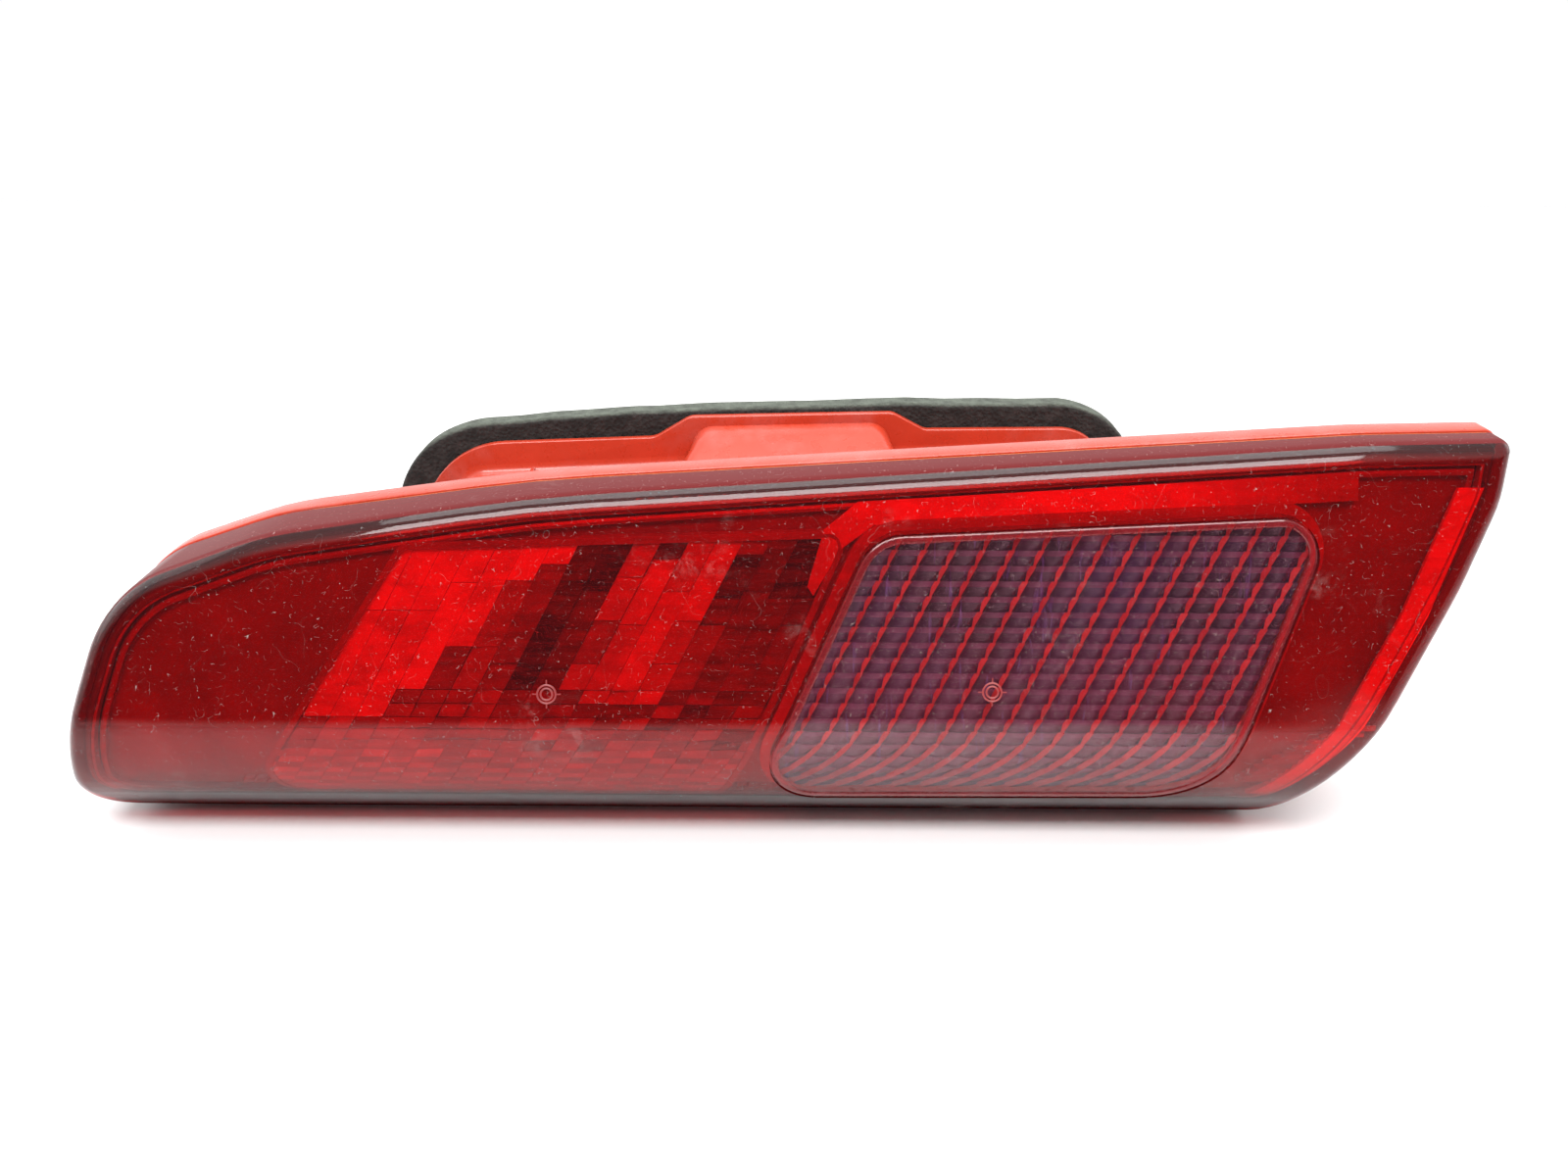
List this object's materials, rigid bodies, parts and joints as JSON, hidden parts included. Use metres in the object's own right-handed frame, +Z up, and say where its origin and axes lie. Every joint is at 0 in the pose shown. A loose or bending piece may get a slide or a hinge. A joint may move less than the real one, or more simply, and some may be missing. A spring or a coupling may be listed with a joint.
{
  "type": "rear lamp",
  "caption": "Car boot-lid rear lamp: long red lens with a slanted violet window, red housing, foam seal, bulb carrier and studs on the back",
  "frame": {"origin": "on the standing surface, under the middle of the lamp's box", "axes": "X along the lamp, lens towards -Y, Z up"},
  "size_m": [0.348, 0.112, 0.0993],
  "materials": {
    "red_lens": "glossy transparent red acrylic, fine dust and light scratches",
    "clear_red_optic": "clear red moulded prisms",
    "violet_lens": "transparent violet acrylic with slanted flutes inside",
    "dark_red_bezel": "semi-gloss dark red moulding",
    "weld_orange": "translucent orange weld flash",
    "red_housing": "semi-gloss red ABS, moulded, lightly scuffed",
    "reflector_silver": "vacuum-metallised plastic",
    "black_foam": "closed-cell foam, dusty grey-green on its outer edge",
    "black_rubber": "matt black rubber",
    "grey_plastic": "matt light grey plastic",
    "black_plastic": "matt black plastic",
    "bulb_brass": "drawn brass, slightly dull",
    "bulb_glass": "clear blown glass",
    "contact_glass": "black vitrite insulator with a solder tip",
    "filament_metal": "glass stem, nickel wires and tungsten coil",
    "tinned_metal": "tin-plated pressed brass strip",
    "zinc_steel": "bright zinc-plated steel"
  },
  "bodies": {
    "lamp": {"outer_lens": "red_lens", "prism_optic": "clear_red_optic", "window_lens": "violet_lens", "inner_bezel": "dark_red_bezel", "weld_bead": "weld_orange", "housing": "red_housing", "reflector_left": "reflector_silver", "reflector_right": "reflector_silver", "seal_ring": "black_foam", "carrier_gasket": "black_rubber", "vent_cap": "black_rubber", "bulb_carrier": "grey_plastic", "connector_header": "black_plastic", "track_earth": "tinned_metal", "track_tail": "tinned_metal", "track_fog": "tinned_metal", "track_reversing": "tinned_metal", "stud_1": "zinc_steel", "stud_2": "zinc_steel", "stud_3": "zinc_steel", "stud_4": "zinc_steel", "flange_nut_1": "zinc_steel", "flange_nut_2": "zinc_steel", "flange_nut_3": "zinc_steel", "flange_nut_4": "zinc_steel"},
    "latch_left": {"latch_arm_left": "grey_plastic"},
    "latch_right": {"latch_arm_right": "grey_plastic"},
    "fog_bulb": {"fog_bulb_base": "bulb_brass", "fog_bulb_glass": "bulb_glass", "fog_bulb_contact": "contact_glass", "fog_bulb_filament": "filament_metal"},
    "tail_bulb": {"tail_bulb_base": "bulb_brass", "tail_bulb_glass": "bulb_glass", "tail_bulb_contact": "contact_glass", "tail_bulb_filament": "filament_metal"},
    "reversing_bulb": {"reversing_bulb_base": "bulb_brass", "reversing_bulb_glass": "bulb_glass", "reversing_bulb_contact": "contact_glass", "reversing_bulb_filament": "filament_metal"}
  },
  "joints": [
    {"name": "latch_left_flex", "type": "hinge", "parent": "lamp", "child": "latch_left", "pos_m": [-0.0852, 0.0291, 0.04], "axis": [0, 0, -1], "range_deg": [0, 8], "stiffness_Nm_per_rad": 1.2},
    {"name": "latch_right_flex", "type": "hinge", "parent": "lamp", "child": "latch_right", "pos_m": [0.0672, 0.0291, 0.04], "axis": [0, 0, 1], "range_deg": [0, 8], "stiffness_Nm_per_rad": 1.2},
    {"name": "fog_bulb_twist", "type": "hinge", "parent": "lamp", "child": "fog_bulb", "pos_m": [-0.058, 0.035, 0.04], "axis": [0, -1, 0], "range_deg": [0, 20]},
    {"name": "tail_bulb_twist", "type": "hinge", "parent": "lamp", "child": "tail_bulb", "pos_m": [-0.024, 0.035, 0.04], "axis": [0, -1, 0], "range_deg": [0, 20]},
    {"name": "reversing_bulb_twist", "type": "hinge", "parent": "lamp", "child": "reversing_bulb", "pos_m": [0.034, 0.035, 0.04], "axis": [0, -1, 0], "range_deg": [0, 20]}
  ]
}
